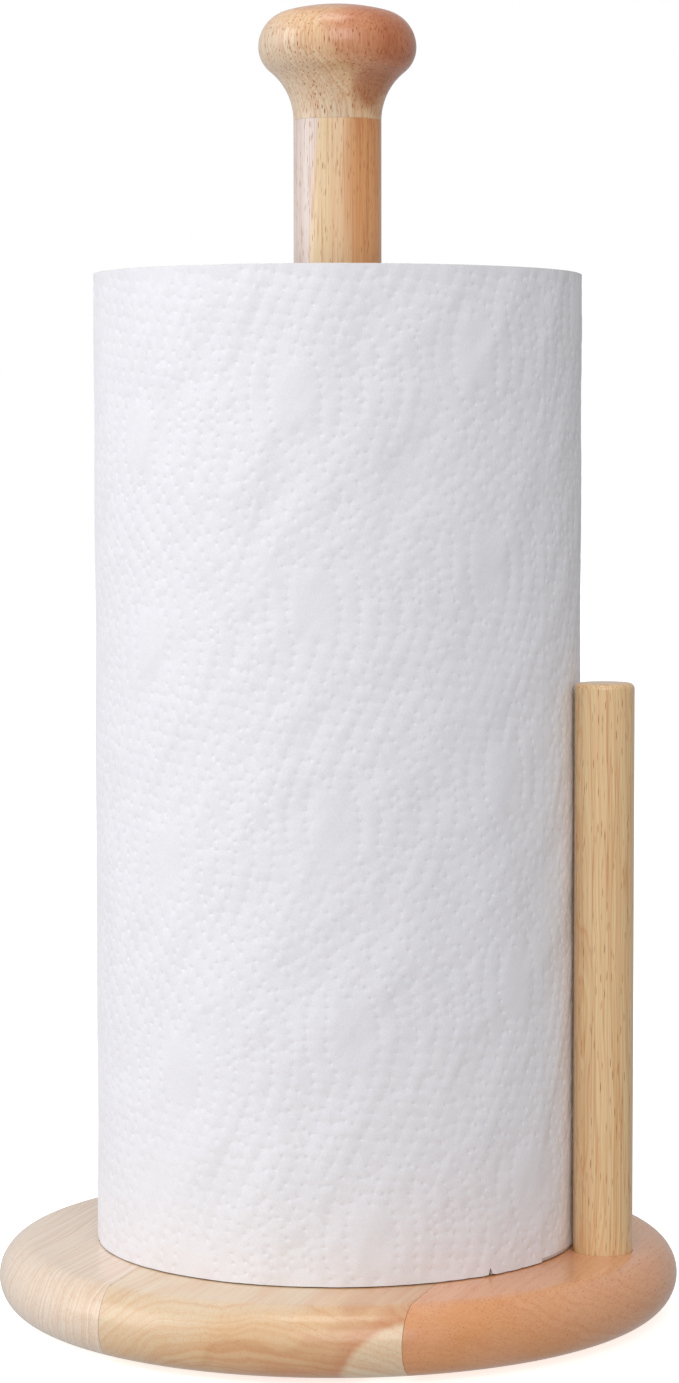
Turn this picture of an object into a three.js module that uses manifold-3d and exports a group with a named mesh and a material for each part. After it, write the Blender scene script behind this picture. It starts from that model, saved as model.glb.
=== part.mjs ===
// A turned-wood countertop paper towel holder with a roll of towel on it.
// Millimetres, +Z up along the centre post, Z = 0 on the surface that it stands on.
// The centre post stands on the origin and the side post stands on +X.

import * as THREE from "three";
import { mergeVertices } from "three/addons/utils/BufferGeometryUtils.js";
import Module from "manifold-3d";

const wasm = await Module();
wasm.setup();

// ---- Driving dimensions ----------------------------------------------------

// Clearances
const GLUE_LINE = 0.1; // film of glue between two glued faces
const SOCKET_CLEARANCE = 0.1; // around and under a post in its socket
const PIN_CLEARANCE = 0.1; // around and beyond the dowel pin
const SCREW_CLEARANCE = 0.15; // around a screw and its head
const ROLL_REST_GAP = 0.3; // under the roll
const SIDE_POST_GAP = 0.45; // between a full roll and the side post
const CORE_PASS_CLEARANCE = 1.35; // between the knob's rim and the core's bore
const WRAP_GAP = 0.1; // between the core, the winding and the outer towels

// Paper roll
const ROLL_RADIUS = 64;
const ROLL_HEIGHT = 254;
const CORE_WALL = 0.9;
const TOWEL_THICKNESS = 0.4;
const TOWEL_LENGTH = 279;
const TAIL_ANGLE = -18; // degrees about Z, where the outer towel's free edge lies
const PERFORATION_GAP = 0.4;
const NICK_FROM_TAIL = 20; // along the paper, from the free edge to a nick in the lower edge
const NICK_WIDTH = 0.8;
const NICK_HEIGHT = 3;

// Base board, glued up from three staves
const BOARD_THICKNESS = 18;
const EDGE_ROUND = BOARD_THICKNESS / 2; // a full half-round edge
const SIDE_POST_EDGE_MARGIN = 1.05; // flat wood between the side post and the rounded edge
const MIDDLE_STAVE_WIDTH = 78;
const MIDDLE_STAVE_OFFSET = 2; // of the middle stave's centre line from the post

// Centre post and its knob
const POST_RADIUS = 11.5;
const POST_SOCKET_DEPTH = 4;
const POST_ABOVE_ROLL = 40; // bare post between the roll and the knob
const JOINT_CHAMFER = 0.25; // on the two edges that meet at the knob's joint
const KNOB_HEIGHT = 30;
const KNOB_RIM_RADIUS = 20.65;
const KNOB_RIM_HEIGHT = 19; // of the widest ring above the joint
const KNOB_RIM_ROUND = 8; // of the rim below its widest ring
const KNOB_DOME_RADIUS = 52;
const PIN_RADIUS = 4;
const PIN_LENGTH = 30;

// Side post
const SIDE_POST_RADIUS = 7.75;
const SIDE_POST_HEIGHT = 148.5; // above the base
const SIDE_POST_SOCKET_DEPTH = 6;
const SIDE_POST_TOP_ROUND = 1.5;

// Wood screws, driven up through the base
const POST_SCREW = { head: 4.7, shank: 2.4, length: 50, plain: 14, pitch: 2.4 };
const SIDE_POST_SCREW = { head: 4.1, shank: 2.1, length: 32, plain: 12, pitch: 2.2 };
const SCREW_RECESS = 0.4; // of the head's face above the underside
const SCREW_POINT = 5; // length of the tapered tip
const THREAD_DEPTH = 0.6;
const DRIVE_SLOT = { length: 4.4, width: 1.1, depth: 1.5 };

// Foot pads
const PAD_RADIUS = 6;
const PAD_THICKNESS = 1.5;
const PAD_CHAMFER = 0.3;
const PAD_INSET = 7; // from the flat underside's rim to the pad
const PAD_COUNT = 4;

// Facets
const ROUND_COARSE = 20;
const ROUND_MEDIUM = 40;
const ROUND_FINE = 80;
const ARC_STEP = 15; // degrees in a turned arc

// ---- Sizes that follow -----------------------------------------------------

const BASE_BOTTOM = PAD_THICKNESS;
const BASE_TOP = BASE_BOTTOM + BOARD_THICKNESS;
const SIDE_POST_X = ROLL_RADIUS + SIDE_POST_GAP + SIDE_POST_RADIUS;
const BASE_RADIUS = SIDE_POST_X + SIDE_POST_RADIUS + SIDE_POST_EDGE_MARGIN + EDGE_ROUND;
const LEFT_GLUE_X = MIDDLE_STAVE_OFFSET - MIDDLE_STAVE_WIDTH / 2;
const RIGHT_GLUE_X = MIDDLE_STAVE_OFFSET + MIDDLE_STAVE_WIDTH / 2;

const ROLL_BOTTOM = BASE_TOP + ROLL_REST_GAP;
const ROLL_TOP = ROLL_BOTTOM + ROLL_HEIGHT;
const KNOB_JOINT = ROLL_TOP + POST_ABOVE_ROLL;
const CORE_BORE_RADIUS = KNOB_RIM_RADIUS + CORE_PASS_CLEARANCE;
const CORE_RADIUS = CORE_BORE_RADIUS + CORE_WALL;
const TOWEL_INNER_RADIUS = ROLL_RADIUS - TOWEL_THICKNESS;
const WINDING_RADIUS = TOWEL_INNER_RADIUS - WRAP_GAP;

const POST_FOOT = BASE_TOP - POST_SOCKET_DEPTH;
const SIDE_POST_FOOT = BASE_TOP - SIDE_POST_SOCKET_DEPTH;
const SIDE_POST_TOP = BASE_TOP + SIDE_POST_HEIGHT;
const SCREW_FACE = BASE_BOTTOM + SCREW_RECESS;
const PIN_FOOT = KNOB_JOINT - PIN_LENGTH / 2;
const PAD_CIRCLE = BASE_RADIUS - EDGE_ROUND - PAD_INSET - PAD_RADIUS;

// ---- Materials -------------------------------------------------------------

function finish(color, roughness, metalness = 0) {
  return new THREE.MeshStandardMaterial({ color, roughness, metalness });
}

const paleWood = () => finish(0xe3d2bd, 0.5);
const tanWood = () => finish(0xd9b88c, 0.5);
const orangeWood = () => finish(0xd0a06e, 0.5);
const paper = () => finish(0xe9eaee, 0.95);
const cardboard = () => finish(0xb99c78, 0.9);
const zincSteel = () => finish(0xb8b9b4, 0.35, 0.9);
const felt = () => finish(0x6b5a4a, 0.95);

// ---- Geometry helpers ------------------------------------------------------

// A closed triangle geometry as a solid, without its zero-area triangles.
function toSolid(geometry) {
  const bare = geometry.clone();
  bare.deleteAttribute("normal");
  bare.deleteAttribute("uv");
  const merged = mergeVertices(bare, 1e-4);
  const index = merged.index.array;
  const kept = [];
  for (let i = 0; i < index.length; i += 3) {
    const [a, b, c] = index.slice(i, i + 3);
    if (a !== b && b !== c && c !== a) kept.push(a, b, c);
  }
  const vertProperties = merged.attributes.position.array;
  const triVerts = new Uint32Array(kept);
  return new wasm.Manifold(new wasm.Mesh({ numProp: 3, vertProperties, triVerts }));
}

function toGeometry(solid) {
  const mesh = solid.getMesh();
  const geometry = new THREE.BufferGeometry();
  geometry.setAttribute("position", new THREE.BufferAttribute(mesh.vertProperties, 3));
  geometry.setIndex(new THREE.BufferAttribute(mesh.triVerts, 1));
  geometry.computeVertexNormals();
  return geometry;
}

// Points along a circular arc in a turned profile, from one angle to another in degrees.
// Angle 0 points outwards and 90 points up.
function arc(radius, height, round, from, to) {
  const steps = Math.max(1, Math.ceil(Math.abs(to - from) / ARC_STEP));
  const points = [];
  for (let i = 0; i <= steps; i += 1) {
    const angle = THREE.MathUtils.degToRad(from + ((to - from) * i) / steps);
    points.push([radius + round * Math.cos(angle), height + round * Math.sin(angle)]);
  }
  return points;
}

// A solid turned about Z from a profile of [radius, height] points, lowest first.
function turned(profile, segments) {
  const points = profile.map(([radius, height]) => new THREE.Vector2(Math.max(radius, 0), height));
  return toSolid(new THREE.LatheGeometry(points, segments).rotateX(Math.PI / 2));
}

function rod(radius, bottom, top, segments) {
  return turned([[0, bottom], [radius, bottom], [radius, top], [0, top]], segments);
}

function tube(inner, outer, bottom, top, segments) {
  const ring = [[inner, bottom], [outer, bottom], [outer, top], [inner, top], [inner, bottom]];
  return turned(ring, segments);
}

function block(from, to) {
  const size = to.map((value, i) => value - from[i]);
  const centre = to.map((value, i) => (value + from[i]) / 2);
  return toSolid(new THREE.BoxGeometry(...size).translate(...centre));
}

// Part of a tube wall between two angles about Z, in degrees.
function curvedSheet(inner, outer, bottom, top, from, to) {
  const start = THREE.MathUtils.degToRad(from);
  const end = THREE.MathUtils.degToRad(to);
  const shape = new THREE.Shape();
  shape.absarc(0, 0, outer, start, end, false);
  shape.absarc(0, 0, inner, end, start, true);
  const curveSegments = Math.ceil(((to - from) / 360) * ROUND_FINE);
  const options = { depth: top - bottom, bevelEnabled: false, curveSegments };
  return toSolid(new THREE.ExtrudeGeometry(shape, options).translate(0, 0, bottom));
}

// ---- Base ------------------------------------------------------------------

// The round board before it is split into staves, with its half-round edge.
function boardDisc() {
  const rim = arc(BASE_RADIUS - EDGE_ROUND, BASE_BOTTOM + EDGE_ROUND, EDGE_ROUND, -90, 90);
  return turned([[0, BASE_BOTTOM], ...rim, [0, BASE_TOP]], ROUND_FINE);
}

// The socket for a post and the hole for the screw that holds it, centred on x.
function postSeat(x, radius, foot, segments, screw) {
  const socket = rod(radius + SOCKET_CLEARANCE, foot - SOCKET_CLEARANCE, BASE_TOP + 1, segments);
  return socket.add(screwHole(screw, SCREW_CLEARANCE, foot)).translate([x, 0, 0]);
}

function stave(from, to) {
  const slab = block(
    [from, -BASE_RADIUS - 1, BASE_BOTTOM - 1],
    [to, BASE_RADIUS + 1, BASE_TOP + 1],
  );
  return boardDisc()
    .intersect(slab)
    .subtract(postSeat(0, POST_RADIUS, POST_FOOT, ROUND_MEDIUM, POST_SCREW))
    .subtract(
      postSeat(SIDE_POST_X, SIDE_POST_RADIUS, SIDE_POST_FOOT, ROUND_MEDIUM, SIDE_POST_SCREW),
    );
}

function footPad() {
  const foot = PAD_RADIUS - PAD_CHAMFER;
  const profile = [[0, 0], [foot, 0], [PAD_RADIUS, PAD_CHAMFER]];
  const top = PAD_THICKNESS - GLUE_LINE / 2;
  return turned([...profile, [PAD_RADIUS, top], [0, top]], ROUND_COARSE);
}

// ---- Screws ----------------------------------------------------------------

function coneDepth(screw) {
  return screw.head - screw.shank; // a 90 degree countersunk head
}

// A countersunk wood screw, face down, its thread shown as rings at its real pitch.
function woodScrew(screw) {
  const root = screw.shank - THREAD_DEPTH;
  const threadEnd = screw.length - SCREW_POINT;
  const profile = [[0, 0], [screw.head, 0], [screw.shank, coneDepth(screw)]];
  profile.push([screw.shank, screw.plain]);
  for (let z = screw.plain; z + screw.pitch <= threadEnd; z += screw.pitch) {
    profile.push([root, z + screw.pitch * 0.25]);
    profile.push([root, z + screw.pitch * 0.65]);
    profile.push([screw.shank, z + screw.pitch]);
  }
  profile.push([root, threadEnd + screw.pitch * 0.25], [0, screw.length]);
  const half = DRIVE_SLOT.length / 2;
  const width = DRIVE_SLOT.width / 2;
  const slot = block([-half, -width, -1], [half, width, DRIVE_SLOT.depth]);
  const cross = slot.add(slot.rotate([0, 0, 90]));
  return turned(profile, ROUND_COARSE).subtract(cross).translate([0, 0, SCREW_FACE]);
}

// The hole that a screw needs, from under the base up to a height.
function screwHole(screw, clearance, top) {
  const head = screw.head + clearance;
  const shank = screw.shank + clearance;
  const mouth = SCREW_FACE;
  const coneTop = mouth + coneDepth(screw);
  const profile = [[0, BASE_BOTTOM - 1], [head, BASE_BOTTOM - 1], [head, mouth]];
  return turned([...profile, [shank, coneTop], [shank, top], [0, top]], ROUND_COARSE);
}

// The pilot hole in a post, from below its foot to just past the screw's point.
function pilotHole(screw, foot) {
  const radius = screw.shank + SCREW_CLEARANCE;
  return rod(radius, foot - 1, SCREW_FACE + screw.length + SCREW_CLEARANCE, ROUND_COARSE);
}

// ---- Posts and knob --------------------------------------------------------

function pinHole() {
  const bottom = PIN_FOOT - PIN_CLEARANCE;
  const top = PIN_FOOT + PIN_LENGTH + PIN_CLEARANCE;
  return rod(PIN_RADIUS + PIN_CLEARANCE, bottom, top, ROUND_COARSE);
}

function centrePost() {
  const top = KNOB_JOINT - GLUE_LINE / 2;
  const profile = [
    [0, POST_FOOT],
    [POST_RADIUS, POST_FOOT],
    [POST_RADIUS, top - JOINT_CHAMFER],
    [POST_RADIUS - JOINT_CHAMFER, top],
    [0, top],
  ];
  return turned(profile, ROUND_MEDIUM).subtract(pilotHole(POST_SCREW, POST_FOOT)).subtract(pinHole());
}

// A cove out of the post, a round rim and a low dome, each arc tangent to the next.
function knobProfile() {
  const rimHeight = KNOB_JOINT + KNOB_RIM_HEIGHT;
  const flare = KNOB_RIM_RADIUS - POST_RADIUS;
  const coveAndRim = (flare ** 2 + KNOB_RIM_HEIGHT ** 2) / (2 * flare);
  const coveRound = coveAndRim - KNOB_RIM_ROUND;
  const rimCentre = KNOB_RIM_RADIUS - KNOB_RIM_ROUND;
  const coveCentre = POST_RADIUS + coveRound;
  const coveEnd = THREE.MathUtils.radToDeg(Math.atan2(KNOB_RIM_HEIGHT, coveCentre - rimCentre));
  const domeDrop = KNOB_DOME_RADIUS - (KNOB_HEIGHT - KNOB_RIM_HEIGHT);
  const shoulderRound =
    (KNOB_DOME_RADIUS ** 2 - KNOB_RIM_RADIUS ** 2 - domeDrop ** 2) /
    (2 * (KNOB_DOME_RADIUS - KNOB_RIM_RADIUS));
  const shoulderCentre = KNOB_RIM_RADIUS - shoulderRound;
  const domeStart = THREE.MathUtils.radToDeg(Math.atan2(domeDrop, shoulderCentre));
  const cove = arc(coveCentre, KNOB_JOINT, coveRound, 180, 180 - coveEnd);
  const rim = arc(rimCentre, rimHeight, KNOB_RIM_ROUND, -coveEnd, 0);
  const shoulder = arc(shoulderCentre, rimHeight, shoulderRound, 0, domeStart);
  const dome = arc(0, rimHeight - domeDrop, KNOB_DOME_RADIUS, domeStart, 90);
  const foot = KNOB_JOINT + GLUE_LINE / 2;
  const chamfer = [[0, foot], [POST_RADIUS - JOINT_CHAMFER, foot], [POST_RADIUS, foot + JOINT_CHAMFER]];
  const tail = cove.filter(([, height]) => height > foot + JOINT_CHAMFER);
  return [...chamfer, ...tail, ...rim.slice(1), ...shoulder.slice(1), ...dome.slice(1)];
}

function knob() {
  return turned(knobProfile(), ROUND_MEDIUM).subtract(pinHole());
}

function dowelPin() {
  const top = PIN_FOOT + PIN_LENGTH;
  const edge = PIN_RADIUS - 1;
  const profile = [
    [0, PIN_FOOT],
    [edge, PIN_FOOT],
    [PIN_RADIUS, PIN_FOOT + 1],
    [PIN_RADIUS, top - 1],
    [edge, top],
    [0, top],
  ];
  return turned(profile, ROUND_COARSE);
}

function sidePost() {
  const shoulder = arc(
    SIDE_POST_RADIUS - SIDE_POST_TOP_ROUND,
    SIDE_POST_TOP - SIDE_POST_TOP_ROUND,
    SIDE_POST_TOP_ROUND,
    0,
    90,
  );
  const profile = [[0, SIDE_POST_FOOT], [SIDE_POST_RADIUS, SIDE_POST_FOOT]];
  return turned([...profile, ...shoulder, [0, SIDE_POST_TOP]], ROUND_MEDIUM)
    .subtract(pilotHole(SIDE_POST_SCREW, SIDE_POST_FOOT));
}

// ---- Paper roll ------------------------------------------------------------

const TOWEL_SWEEP = THREE.MathUtils.radToDeg(TOWEL_LENGTH / ROLL_RADIUS);
const PERFORATION_SWEEP = THREE.MathUtils.radToDeg(PERFORATION_GAP / ROLL_RADIUS);

function towel(from, to) {
  return curvedSheet(TOWEL_INNER_RADIUS, ROLL_RADIUS, ROLL_BOTTOM, ROLL_TOP, from, to);
}

// The last towel on the roll, from its free edge back to its perforation.
function outerTowel() {
  const nickAngle = TAIL_ANGLE - THREE.MathUtils.radToDeg(NICK_FROM_TAIL / ROLL_RADIUS);
  const nick = block(
    [TOWEL_INNER_RADIUS - 1, -NICK_WIDTH / 2, ROLL_BOTTOM - 1],
    [ROLL_RADIUS + 1, NICK_WIDTH / 2, ROLL_BOTTOM + NICK_HEIGHT],
  );
  return towel(TAIL_ANGLE - TOWEL_SWEEP, TAIL_ANGLE).subtract(nick.rotate([0, 0, nickAngle]));
}

// The part of the next towel that the last one leaves in view.
function secondTowel() {
  const perforation = TAIL_ANGLE - TOWEL_SWEEP + 360 - PERFORATION_SWEEP;
  return towel(TAIL_ANGLE + PERFORATION_SWEEP, perforation);
}

// ---- Assembly --------------------------------------------------------------

function piece(name, material, solid, x = 0, y = 0) {
  const mesh = new THREE.Mesh(toGeometry(solid), material);
  mesh.name = name;
  mesh.position.set(x, y, 0);
  return mesh;
}

function buildBase() {
  const group = new THREE.Group();
  const half = GLUE_LINE / 2;
  group.add(
    piece("base_stave_left", paleWood(), stave(-BASE_RADIUS - 1, LEFT_GLUE_X - half)),
    piece("base_stave_middle", tanWood(), stave(LEFT_GLUE_X + half, RIGHT_GLUE_X - half)),
    piece("base_stave_right", orangeWood(), stave(RIGHT_GLUE_X + half, BASE_RADIUS + 1)),
  );
  for (let i = 0; i < PAD_COUNT; i += 1) {
    const angle = ((i + 0.5) * 2 * Math.PI) / PAD_COUNT;
    const x = PAD_CIRCLE * Math.cos(angle);
    const y = PAD_CIRCLE * Math.sin(angle);
    group.add(piece(`foot_pad_${i + 1}`, felt(), footPad(), x, y));
  }
  return group;
}

function buildPosts() {
  const group = new THREE.Group();
  group.add(
    piece("center_post", tanWood(), centrePost()),
    piece("post_knob", orangeWood(), knob()),
    piece("knob_dowel_pin", paleWood(), dowelPin()),
    piece("post_screw", zincSteel(), woodScrew(POST_SCREW)),
    piece("side_post", tanWood(), sidePost(), SIDE_POST_X),
    piece("side_post_screw", zincSteel(), woodScrew(SIDE_POST_SCREW), SIDE_POST_X),
  );
  return group;
}

function buildRoll() {
  const group = new THREE.Group();
  const core = tube(CORE_BORE_RADIUS, CORE_RADIUS, ROLL_BOTTOM, ROLL_TOP, ROUND_FINE);
  const bore = CORE_RADIUS + WRAP_GAP;
  const winding = tube(bore, WINDING_RADIUS, ROLL_BOTTOM, ROLL_TOP, ROUND_FINE);
  group.add(
    piece("roll_core", cardboard(), core),
    piece("paper_winding", paper(), winding),
    piece("outer_towel", paper(), outerTowel()),
    piece("second_towel", paper(), secondTowel()),
  );
  return group;
}

const holder = new THREE.Group();
holder.add(buildBase(), buildPosts(), buildRoll());

export default holder;
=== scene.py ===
"""A turned-wood countertop paper towel holder with a full roll of embossed towel on it."""

import math
import random

import bmesh
import bpy
from mathutils import Matrix, Vector, geometry, kdtree, noise


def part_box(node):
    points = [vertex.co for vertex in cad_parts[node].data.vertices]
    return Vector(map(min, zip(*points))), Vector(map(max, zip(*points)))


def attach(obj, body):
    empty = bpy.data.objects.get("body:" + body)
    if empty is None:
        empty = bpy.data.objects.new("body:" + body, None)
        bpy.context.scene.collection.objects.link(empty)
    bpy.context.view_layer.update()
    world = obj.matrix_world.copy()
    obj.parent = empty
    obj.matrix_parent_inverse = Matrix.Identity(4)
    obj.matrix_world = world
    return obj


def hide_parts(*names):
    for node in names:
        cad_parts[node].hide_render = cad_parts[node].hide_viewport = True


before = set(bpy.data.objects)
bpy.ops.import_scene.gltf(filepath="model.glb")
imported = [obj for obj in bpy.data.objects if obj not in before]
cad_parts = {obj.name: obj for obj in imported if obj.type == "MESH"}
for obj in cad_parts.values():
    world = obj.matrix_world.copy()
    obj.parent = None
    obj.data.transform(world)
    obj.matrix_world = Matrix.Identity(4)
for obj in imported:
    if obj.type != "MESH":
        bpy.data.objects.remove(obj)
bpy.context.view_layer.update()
MM = 0.001

# ---- Camera ----------------------------------------------------------------
# A long lens at table height, a little to the right of the front, looking at
# the middle of the holder. The small shift leaves the side post its room.

LENS = 94.95
EYE = Vector((286.1, -917.8, 229.8)) * MM
AIM = Vector((15.5, 4.8, 164.3)) * MM
SIDE_SHIFT = -0.0434

lens = bpy.data.cameras.new("camera")
lens.lens = LENS
lens.sensor_width = 36
lens.shift_x = SIDE_SHIFT
camera = bpy.data.objects.new("camera", lens)
camera.location = EYE
camera.rotation_euler = (AIM - EYE).to_track_quat("-Z", "Y").to_euler()
bpy.context.scene.collection.objects.link(camera)
bpy.context.scene.camera = camera
bpy.context.scene.view_settings.view_transform = "Standard"


# ---- Floor and light -------------------------------------------------------
# A plain white table in a white studio: a wide window on the left, a soft lamp
# in front, one under the ceiling, and walls brighter on the window's side.

class Wire:
    """A socket in a shader. Sums on it add Math nodes, and node() adds any other kind."""

    def __init__(self, tree, socket=None):
        self.tree = tree
        self.socket = socket

    def node(self, kind, settings=None, sockets=None):
        made = self.tree.nodes.new("ShaderNode" + kind)
        for name, value in (settings or {}).items():
            setattr(made, name, value)
        for name, value in (sockets or {}).items():
            socket = find_socket(made.inputs, name)
            if isinstance(value, Wire):
                self.tree.links.new(value.socket, socket)
            else:
                socket.default_value = value
        return Wire(self.tree, next((out for out in made.outputs if out.enabled), None))

    def __getitem__(self, name):
        return Wire(self.tree, find_socket(self.socket.node.outputs, name))

    def math(self, operation, first, second=0.0):
        return self.node("Math", {"operation": operation}, {0: first, 1: second})

    def __add__(self, other):
        return self.math("ADD", self, other)

    def __radd__(self, other):
        return self.math("ADD", other, self)

    def __sub__(self, other):
        return self.math("SUBTRACT", self, other)

    def __rsub__(self, other):
        return self.math("SUBTRACT", other, self)

    def __mul__(self, other):
        return self.math("MULTIPLY", self, other)

    def __rmul__(self, other):
        return self.math("MULTIPLY", other, self)

    def __truediv__(self, other):
        return self.math("DIVIDE", self, other)

    def __pow__(self, other):
        return self.math("POWER", self, other)

    def fraction(self):
        return self.math("FRACT", self)

    def ramp(self, low, high):
        """0 below low and 1 above high, or the other way round, with soft ends."""
        ends = {"Value": self, "From Min": low, "From Max": high}
        return self.node("MapRange", {"interpolation_type": "SMOOTHSTEP"}, ends)

    def blend(self, first, second, kind="MIX"):
        """A colour: first where this is 0, second, or what the kind makes of both, where it is 1."""
        settings = {"data_type": "RGBA", "blend_type": kind}
        return self.node("Mix", settings, {"Factor": self, "A": first, "B": second})

    def scaled(self, x, y, z):
        return self.node("VectorMath", {"operation": "MULTIPLY"}, {0: self, 1: (x, y, z)})

    def noise(self, scale, detail=2.0, roughness=0.5):
        sockets = {"Vector": self, "Scale": scale, "Detail": detail, "Roughness": roughness}
        return self.node("TexNoise", None, sockets)

    def noise_along(self, detail):
        """Noise that changes with one number alone, which this is."""
        return self.node("TexNoise", {"noise_dimensions": "1D"}, {"W": self, "Detail": detail})


def find_socket(sockets, name):
    """The socket with that number, or the first one in use with that name."""
    if isinstance(name, int):
        return sockets[name]
    return next(socket for socket in sockets if socket.name == name and socket.enabled)


def paint(hex_color):
    """A colour for a socket, in linear light, from its usual six figures."""
    shades = [int(hex_color[i:i + 2], 16) / 255 for i in (0, 2, 4)]
    return (*[s / 12.92 if s <= 0.04045 else ((s + 0.055) / 1.055) ** 2.4 for s in shades], 1)


def new_finish(name):
    """A material with nothing in it yet, and a loose wire into its tree."""
    material = bpy.data.materials.new(name)
    material.use_nodes = True
    material.node_tree.nodes.clear()
    return material, Wire(material.node_tree)


def close_finish(surface):
    """Leads a shader's last wire to the material's output."""
    surface.node("OutputMaterial", None, {"Surface": surface})


FLOOR_RADIUS = 6.0
FLOOR_GLOW = 0.65

table, shader = new_finish("table_top")
mottle = shader.node("TexCoord")["Object"].noise(9, 3).ramp(0.2, 0.8)
close_finish(shader.node("BsdfPrincipled", None, {
    "Base Color": mottle.blend(paint("F6F6F7"), paint("FAFAFA")),
    "Roughness": 0.85,
    "Emission Color": (1, 1, 1, 1),
    "Emission Strength": FLOOR_GLOW,
}))
disc = bmesh.new()
bmesh.ops.create_circle(disc, cap_ends=True, radius=FLOOR_RADIUS, segments=96)
floor_mesh = bpy.data.meshes.new("floor")
disc.to_mesh(floor_mesh)
floor_mesh.materials.append(table)
floor = bpy.data.objects.new("floor", floor_mesh)
bpy.context.scene.collection.objects.link(floor)
floor.visible_diffuse = False
floor.visible_glossy = False

WALL_LIGHT = 0.56
WALL_SLOPE = 0.22
WALL_TINT = (1.0, 0.985, 0.975, 1)
TO_THE_LEFT = (-0.955, -0.295, 0.1)

world = bpy.data.worlds.new("studio")
world.use_nodes = True
world.node_tree.nodes.clear()
walls = Wire(world.node_tree)
seen = walls.node("Background", None, {"Color": (1, 1, 1, 1), "Strength": 1.0})
toward = walls.node("TexCoord")["Generated"]
leftness = toward.node("VectorMath", {"operation": "DOT_PRODUCT"}, {0: toward, 1: TO_THE_LEFT})
glow = WALL_LIGHT + leftness * WALL_SLOPE
unseen = walls.node("Background", None, {"Color": WALL_TINT, "Strength": glow})
straight = walls.node("LightPath")["Is Camera Ray"]
both = walls.node("MixShader", None, {0: straight, 1: unseen, 2: seen})
both.node("OutputWorld", None, {"Surface": both})
bpy.context.scene.world = world

LAMP_AIM = Vector((0, 0, 0.16))


def soft_light(name, turn, rise, distance, width, power, tint):
    """A square lamp aimed at the holder, turned left of the camera and raised, in degrees."""
    front = math.atan2(EYE.y, EYE.x) - math.radians(turn)
    height = math.radians(rise)
    lamp = bpy.data.lights.new(name, "AREA")
    lamp.size = width
    lamp.energy = power
    lamp.color = tint
    spot = bpy.data.objects.new(name, lamp)
    level = math.cos(height)
    out = Vector((math.cos(front) * level, math.sin(front) * level, math.sin(height)))
    spot.location = LAMP_AIM + out * distance
    spot.rotation_euler = (-out).to_track_quat("-Z", "Y").to_euler()
    bpy.context.scene.collection.objects.link(spot)


soft_light("window", turn=80, rise=22, distance=1.5, width=1.0, power=6, tint=(0.97, 0.985, 1.0))
soft_light("lamp", turn=-5, rise=26, distance=2.0, width=1.2, power=12.5, tint=(1.0, 0.99, 0.98))
soft_light("ceiling", turn=20, rise=80, distance=1.3, width=0.5, power=2.8, tint=(1.0, 0.99, 0.98))


# ---- Base ------------------------------------------------------------------
# A round board glued up from three staves of rubberwood, its rim turned to a
# half round and the whole sanded flush and sealed with a satin lacquer.

DARK_GRAIN = paint("9C4A1A")
WARM_STREAK = paint("F2C9A4")
LATE_WOOD = paint("DDAE86")
FIBRE_SHADE = paint("EBD5BF")
PORE_REACH = 0.6
PATCH_STRENGTH = 0.8
SEED_STEP = 41.0


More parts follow.
